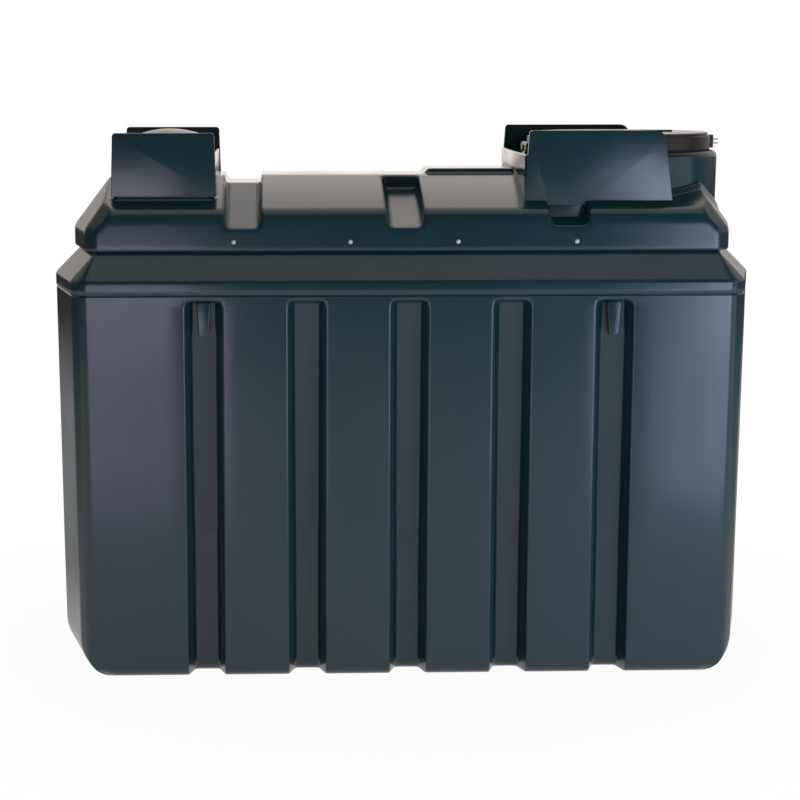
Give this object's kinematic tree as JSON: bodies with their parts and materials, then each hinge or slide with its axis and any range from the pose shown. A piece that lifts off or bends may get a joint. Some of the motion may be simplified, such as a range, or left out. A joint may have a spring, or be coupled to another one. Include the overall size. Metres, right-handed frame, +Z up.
{
  "type": "bunded oil tank",
  "caption": "Bunded plastic oil storage tank with ribbed outer bund, sloped hood, two guards, gauge cap and a filler neck under a hinged lockable lid",
  "frame": {"origin": "middle of the foot, on the ground", "axes": "+X along the length towards the lidded end, +Z up, the pictured side faces -Y"},
  "size_m": [1.874, 0.838, 1.4278],
  "materials": {
    "green_plastic": "dark green moulded polyethylene, softly glossy",
    "tank_plastic": "dark green-black moulded polyethylene, satin",
    "black_plastic": "black moulded plastic, softly glossy",
    "seal_rubber": "black rubber seal",
    "bright_steel": "bright plated steel"
  },
  "bodies": {
    "tank": {"bund_floor": "green_plastic", "bund_front_wall": "green_plastic", "bund_rear_wall": "green_plastic", "bund_left_end": "green_plastic", "bund_right_end": "green_plastic", "bund_shoulder": "green_plastic", "lifting_lugs": "green_plastic", "hood_skirt": "green_plastic", "hood_roof": "green_plastic", "gauge_guard_front": "green_plastic", "gauge_guard_rear": "green_plastic", "gauge_guard_left_wall": "green_plastic", "gauge_guard_right_wall": "green_plastic", "lid_guard_front": "green_plastic", "lid_guard_rear": "green_plastic", "lid_guard_left_wall": "green_plastic", "inner_tank_shell": "tank_plastic", "inner_tank_top": "tank_plastic", "filler_neck": "green_plastic", "neck_gasket": "seal_rubber", "hinge_bracket": "black_plastic", "hinge_pin": "bright_steel", "gauge_boss": "tank_plastic", "gauge_cap": "black_plastic"},
    "lid_body": {"lid": "black_plastic", "lid_grip": "black_plastic", "hasp_block": "black_plastic", "padlock_tabs": "bright_steel", "lid_hinge_leaf": "black_plastic"}
  },
  "joints": [
    {"name": "lid_hinge", "type": "hinge", "parent": "tank", "child": "lid_body", "pos_m": [0.3435, 0, 1.38076], "axis": [0, -1, 0], "range_deg": [0, 100]}
  ]
}
